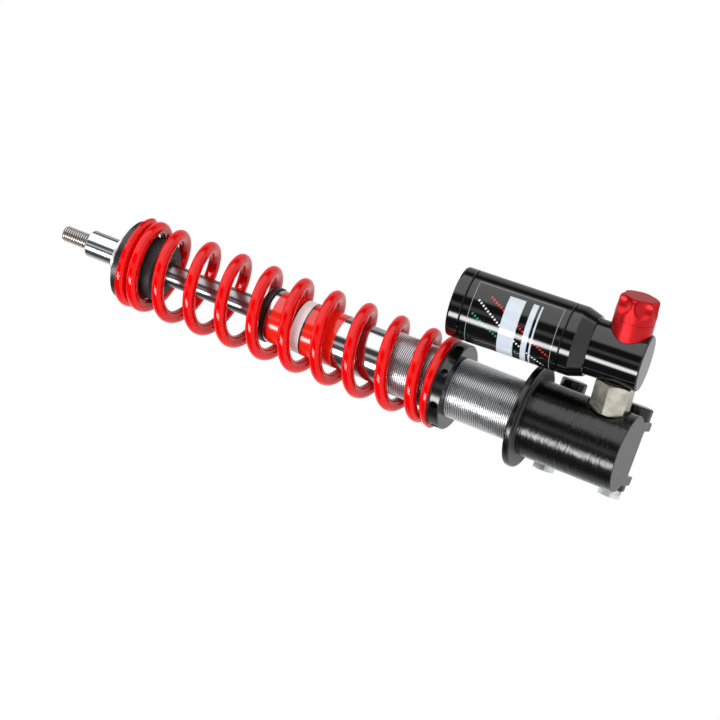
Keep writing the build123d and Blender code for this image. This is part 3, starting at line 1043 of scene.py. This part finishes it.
FINISH: dict[Group, Finish] = {
    Group.ZINC: ZINC,
    Group.WASHER: WASHER_ZINC,
    Group.BOLTS: BOLT_ZINC,
    Group.BLACK: BLACK_ANODISED,
    Group.RING: RING_BLACK,
    Group.RESERVOIR: RESERVOIR_BLACK,
    Group.KNOB: RED_ANODISED,
    Group.MOUNT: MOUNT_BLACK,
    Group.CHROME: CHROME,
    Group.UNION: PASSIVATE,
    Group.STOP: STOP_RUBBER,
    Group.SEALS: SEAL_RUBBER,
    Group.PLASTIC: DULL_PLASTIC,
    Group.STEEL: BARE_STEEL,
    Group.ALLOY: BARE_ALLOY,
    Group.BRONZE: BRONZE,
    Group.BAND: BODY_BAND,
    Group.LABEL: LABEL,
}


def dress(piece: bpy.types.Object, material: bpy.types.Material) -> bpy.types.Object:
    """Gives a new piece one material.

    Args:
        piece: the piece's object.
        material: its material.

    Returns:
        The same object.
    """
    piece.data.materials.clear()
    piece.data.materials.append(material)
    return piece


# ------------------------------------------------------------------------------------ sub-assemblies
@dataclass
class Spring:
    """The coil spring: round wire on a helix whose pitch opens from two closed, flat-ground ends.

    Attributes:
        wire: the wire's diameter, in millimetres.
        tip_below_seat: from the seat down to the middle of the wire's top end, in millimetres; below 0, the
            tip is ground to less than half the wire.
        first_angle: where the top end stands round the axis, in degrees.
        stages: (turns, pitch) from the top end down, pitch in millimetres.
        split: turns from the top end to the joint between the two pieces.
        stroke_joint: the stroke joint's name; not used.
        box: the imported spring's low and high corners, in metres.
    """

    wire: float = 7.8
    tip_below_seat: float = -1.2
    first_angle: float = 5.4
    stages: tuple[tuple[float, float], ...] = (
        (1.0, 8.0),
        (0.5, 9.6),
        (0.5, 19.2),
        (8.0, 22.25),
        (0.5, 17.0),
        (0.5, 11.6),
        (0.55, 6.2),
    )
    split: float = 7.765
    stroke_joint: str = "damper_stroke"
    box: tuple = field(default_factory=lambda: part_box("coil_spring"))

    def height(self, turns: np.ndarray) -> np.ndarray:
        """Works out how high the wire is: the stages' running total of turns times pitch.

        It is averaged over half a turn, and that span shrinks to nothing at the wire's two ends.

        Args:
            turns: turns from the top end.

        Returns:
            Heights on the damper's axis, in metres.
        """
        ends = np.cumsum([0.0] + [t for t, _ in self.stages])
        drops = np.cumsum([0.0] + [t * p for t, p in self.stages])
        ease = np.linspace(-0.25, 0.25, 21)
        room = np.minimum(1, 2 * np.minimum(turns, ends[-1] - turns))
        near = np.clip(turns[:, None] + ease * room[:, None], 0, ends[-1])
        return self.box[1][2] - self.tip_below_seat * MM - np.interp(near, ends, drops).mean(axis=1) * MM

    def stretch(
        self, name: str, start: float, stop: float, sides: int = 28, steps: int = 88
    ) -> bpy.types.Object:
        """Carries the wire's circle along part of the helix, held flat where it would pass a seat.

        The path at t turns is (R cos a, R sin a, h(t)) with a = first angle - 2 pi t. A point of the wire is
        the path plus r (cos b times outward + sin b times the cross of travel and outward). Heights past a
        seat's plane are held in it, which grinds the ends.

        Args:
            name: the piece's name.
            start: turns from the top end to where it starts.
            stop: turns to where it stops.
            sides: steps round the wire.
            steps: steps to a turn.

        Returns:
            The object.
        """
        low, high = self.box
        mean = (high[0] - low[0]) / 2 - self.wire / 2 * MM
        turns = np.linspace(start, stop, int((stop - start) * steps) + 2)
        angle = radians(self.first_angle) - 2 * pi * turns
        path = np.stack([mean * np.cos(angle), mean * np.sin(angle), self.height(turns)], axis=-1)
        out = np.stack([np.cos(angle), np.sin(angle), 0 * angle], axis=-1)
        travel = np.gradient(path, axis=0)
        travel /= np.linalg.norm(travel, axis=1, keepdims=True)
        rise = np.cross(travel, out)
        around = np.arange(sides) * 2 * pi / sides
        c, s = np.cos(around)[None, :, None], np.sin(around)[None, :, None]
        ring = c * out[:, None, :] + s * rise[:, None, :]
        skin = path[:, None, :] + self.wire / 2 * MM * ring
        first = np.repeat(path[:1, None, :], sides, axis=1)
        last = np.repeat(path[-1:, None, :], sides, axis=1)
        points = np.concatenate([first, skin, last])
        points[..., 2] = np.clip(points[..., 2], low[2], high[2])
        faces = grid_faces(len(turns) + 2, sides, close_rows=False, close_columns=True)
        return object_from(name, points.reshape(-1, 3), faces, crease=40)

    def build(self) -> None:
        """Makes both pieces and attaches the long one to the upper body."""
        end = sum(t for t, _ in self.stages)
        red = SPRING_RED.material()
        long_part = dress(self.stretch("spring_coils", 0.0, self.split), red)
        short_part = dress(self.stretch("spring_foot", self.split, end), red)
        for part in (long_part, short_part):
            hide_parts("coil_spring")
        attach(long_part, "upper")
        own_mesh(long_part)
        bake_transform(short_part)


@dataclass
class Rod:
    """The chromed rod with its threaded stud and shank.

    Attributes:
        diameter: the rod's, in millimetres.
        shank: the shank's diameter inside the spacer, in millimetres.
        shoulder: the height where the rod steps to the shank, in millimetres.
        shank_end: the height where the shank steps to the stud's core, in millimetres.
        core_end: the height where that core ends inside the stud, in millimetres.
        foot: the diameter of the foot that the piston sits on, in millimetres.
        foot_length: the foot's length, in millimetres.
        chamfer: the rod's chamfers, in millimetres.
    """

    diameter: float = 14.0
    shank: float = 10.0
    shoulder: float = -27.4
    shank_end: float = -1.5
    core_end: float = -0.2
    foot: float = 8.0
    foot_length: float = 26.0
    chamfer: float = 0.5

    def build(self) -> None:
        """Makes the rod and the stud."""
        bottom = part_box("piston_rod")[0][2] / MM
        stack = bottom + self.foot_length
        foot, rod, shank = self.foot / 2, self.diameter / 2, self.shank / 2
        core = STUD_THREAD.radius - STUD_THREAD.depth
        tip = 0.6
        step = 0.2
        outline = [
            (0, bottom),
            (foot - tip, bottom),
            (foot, bottom + tip),
            (foot, stack),
            (rod - self.chamfer, stack),
            (rod, stack + self.chamfer),
            (rod, self.shoulder - self.chamfer),
            (rod - self.chamfer, self.shoulder),
            (shank, self.shoulder),
            (shank, self.shank_end),
            (core, self.shank_end + step),
            (core, self.core_end),
            (0, self.core_end),
        ]
        bar = dress(turned("damper_rod", outline), ROD_CHROME.material())
        stud = dress(STUD_THREAD.mesh("rod_stud"), STUD_STEEL.material())
        for part in (bar, stud):
            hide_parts("piston_rod")
            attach(part, "upper")
        log.info("rod: %.0f mm across, stud M%.0f", self.diameter, 2 * STUD_THREAD.radius)


@dataclass
class Sleeve:
    """The threaded sleeve that the preload ring runs on.

    Attributes:
        thread: its thread, from end to end.
    """

    thread: Thread = SLEEVE_THREAD

    def build(self) -> None:
        """Makes the sleeve."""
        sleeve = dress(self.thread.mesh("sleeve"), THREAD_CHROME.material())
        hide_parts("threaded_sleeve")
        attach(sleeve, "lower")
        log.info("sleeve: %.1f mm across, pitch %.2f", 2 * self.thread.radius, self.thread.pitch)


@dataclass
class CarriedParts:
    """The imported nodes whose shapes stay, each with its own finish."""

    def build(self) -> None:
        """Puts each group's finish on its nodes' material slots."""
        for group, finish in FINISH.items():
            material = finish.material()
            for node in group.value:
                for slot in frame["nodes"][node].material_slots:
                    slot.material = material
            log.info("%s: %d nodes", material.name, len(group.value))


# ------------------------------------------------------------------------------------ studio
@dataclass(frozen=True)
class Panel:
    """A tall soft panel, as bright from wherever it is seen.

    Attributes:
        name: what the studio calls it; not used.
        centre: degrees round the damper from the camera's side, towards the reservoir's far side.
        half: half its width, in degrees.
        soft: how soft its upright edges are, in degrees.
        low: its lower edge's elevation, in degrees.
        high: its upper edge's elevation, in degrees.
        brightness: its radiance; 1 looks white.
        fade: how soft its lower and upper edges are, in degrees.
    """

    name: str
    centre: float
    half: float
    soft: float
    low: float
    high: float
    brightness: float
    fade: float = 8.0

    def glow(
        self, nodes: Nodes, azimuth: bpy.types.NodeSocket, elevation: bpy.types.NodeSocket
    ) -> bpy.types.NodeSocket:
        """Works out its light in a direction: brightness times windows in azimuth and in elevation.

        Args:
            nodes: the sky's nodes.
            azimuth: the direction's angle round the damper, in degrees.
            elevation: its angle above the level, in degrees.

        Returns:
            The light's socket.
        """
        off = nodes.math("WRAP", nodes.math("SUBTRACT", azimuth, self.centre), 180.0, -180.0)
        sideways = nodes.window(off, -self.half, self.half, self.soft)
        upright = nodes.window(elevation, self.low, self.high, self.fade)
        return nodes.math("MULTIPLY", nodes.math("MULTIPLY", sideways, upright), self.brightness)


@dataclass
class Studio:
    """The camera, the floor, the soft panels and the sky.

    Attributes:
        lens: focal length for a 36 mm wide image, in millimetres.
        distance: camera to the damper's axis, in metres.
        tilt: how far the camera looks up along the damper, in degrees.
        roll: how far the damper's axis is turned down to the right, in degrees.
        spin: how far the camera stands round the damper from -Y, in degrees.
        aim: the height on the axis that it looks at, in metres.
        sideways: how far the view's middle is from the axis, in metres.
        floor: the floor's height, in metres.
        floor_half: half the floor's side, in metres.
        ambient: the brightness between the panels.
        panels: the soft panels round the part.
    """

    lens: float = 143.5
    distance: float = 1.75
    tilt: float = 18.75
    roll: float = 21.6
    spin: float = 5.3
    aim: float = -0.1958
    sideways: float = -0.00618
    floor: float = -1.25
    floor_half: float = 4.0
    ambient: float = 0.05
    panels: tuple[Panel, ...] = (
        Panel("key box", centre=55.0, half=36.0, soft=6.0, low=-35.0, high=60.0, brightness=1.7),
        Panel("narrow strip", centre=-14.0, half=6.0, soft=4.0, low=-20.0, high=60.0, brightness=0.7),
        Panel("bright strip", centre=-51.0, half=7.0, soft=4.5, low=-12.0, high=30.0, brightness=15.0),
        Panel("near side", centre=128.0, half=14.0, soft=8.0, low=-30.0, high=60.0, brightness=0.45),
        Panel("rear box", centre=180.0, half=34.0, soft=14.0, low=-30.0, high=60.0, brightness=0.7),
        Panel("top box", centre=0.0, half=200.0, soft=1.0, low=64.0, high=100.0, brightness=1.6),
        Panel("far side", centre=-134.0, half=24.0, soft=14.0, low=-30.0, high=60.0, brightness=0.5),
    )

    def axes(self) -> tuple[np.ndarray, np.ndarray, np.ndarray]:
        """Works out the way the camera is turned: spun round the damper, tilted along it, then rolled.

        Returns:
            The camera's right, up and backward directions in the row's frame.
        """
        s, t, a = radians(self.spin), radians(self.tilt), radians(self.roll)
        across = np.array([cos(s), sin(s), 0.0])
        away = np.array([-sin(s), cos(s), 0.0])
        up_z = np.array([0.0, 0.0, 1.0])
        along = sin(t) * away - cos(t) * up_z
        back = -cos(t) * away - sin(t) * up_z
        return cos(a) * along + sin(a) * across, -sin(a) * along + cos(a) * across, back

    def camera(self) -> None:
        """Places the camera."""
        right, up, back = self.axes()
        s = radians(self.spin)
        target = np.array([0, 0, self.aim]) + self.sideways * np.array([cos(s), sin(s), 0.0])
        data = bpy.data.cameras.new("camera")
        data.lens = self.lens
        data.sensor_width = 36.0
        data.clip_end = 50.0
        thing = bpy.data.objects.new("camera", data)
        turn = Matrix(np.column_stack([right, up, back]).tolist()).to_4x4()
        thing.matrix_world = Matrix.Translation(Vector((target + self.distance * back).tolist())) @ turn
        bpy.context.scene.collection.objects.link(thing)
        bpy.context.scene.camera = thing

    def sky(self) -> None:
        """Makes a white ground for direct view, and the panels that light the part and show in its gloss."""
        world = bpy.data.worlds.new("studio")
        world.use_nodes = True
        world.node_tree.nodes.clear()
        nodes = Nodes(world.node_tree)
        x, y, z = nodes.split(world.node_tree.nodes.new("ShaderNodeTexCoord").outputs["Generated"])
        s = radians(self.spin)
        toward = nodes.math("SUBTRACT", nodes.math("MULTIPLY", x, sin(s)), nodes.math("MULTIPLY", y, cos(s)))
        across = nodes.math("ADD", nodes.math("MULTIPLY", x, cos(s)), nodes.math("MULTIPLY", y, sin(s)))
        azimuth = nodes.math("DEGREES", nodes.math("ARCTAN2", across, toward))
        elevation = nodes.math("DEGREES", nodes.math("ARCSINE", z))
        light: object = self.ambient
        for panel in self.panels:
            light = nodes.math("ADD", light, panel.glow(nodes, azimuth, elevation))
        path = world.node_tree.nodes.new("ShaderNodeLightPath")
        seen = world.node_tree.nodes.new("ShaderNodeBackground")
        dome = world.node_tree.nodes.new("ShaderNodeBackground")
        for background in (seen, dome):
            background.inputs["Color"].default_value = (1.0, 1.0, 1.0, 1.0)
        nodes.join(light, dome.inputs["Strength"])
        mix = world.node_tree.nodes.new("ShaderNodeMixShader")
        out = world.node_tree.nodes.new("ShaderNodeOutputWorld")
        nodes.join(path.outputs["Is Camera Ray"], mix.inputs[0])
        nodes.join(dome.outputs[0], mix.inputs[1])
        nodes.join(seen.outputs[0], mix.inputs[2])
        nodes.join(mix.outputs[0], out.inputs[0])
        bpy.context.scene.world = world

    def ground(self) -> None:
        """Lays a large pale floor, well below the hanging part."""
        half = self.floor_half
        plan = ((-half, -half), (half, -half), (half, half), (-half, half))
        mesh = bpy.data.meshes.new("floor")
        mesh.from_pydata([(x, y, self.floor) for x, y in plan], [], [(0, 1, 2, 3)])
        thing = bpy.data.objects.new("floor", mesh)
        bpy.context.scene.collection.objects.link(thing)
        bench = Bench("pale_floor")
        tone = bench.blend(bench.noise(bench.local, 2.0), (0.86, 0.86, 0.86), (0.89, 0.89, 0.89))
        bench.set(Base_Color=tone, Roughness=0.7)
        dress(thing, bench.material)

    def build(self) -> None:
        """Sets up the whole studio."""
        self.camera()
        self.ground()
        self.sky()
        bpy.context.scene.view_settings.view_transform = "Standard"
        log.info("studio: camera %.2f m away, %.1f mm lens", self.distance, self.lens)


def main() -> None:
    """Builds every sub-assembly in order."""
    logging.basicConfig(level=logging.INFO, format="%(name)s %(message)s")
    CarriedParts().build()
    Rod().build()
    Spring().build()
    Sleeve().build()
    Studio().build()


if __name__ == "__main__":
    main()
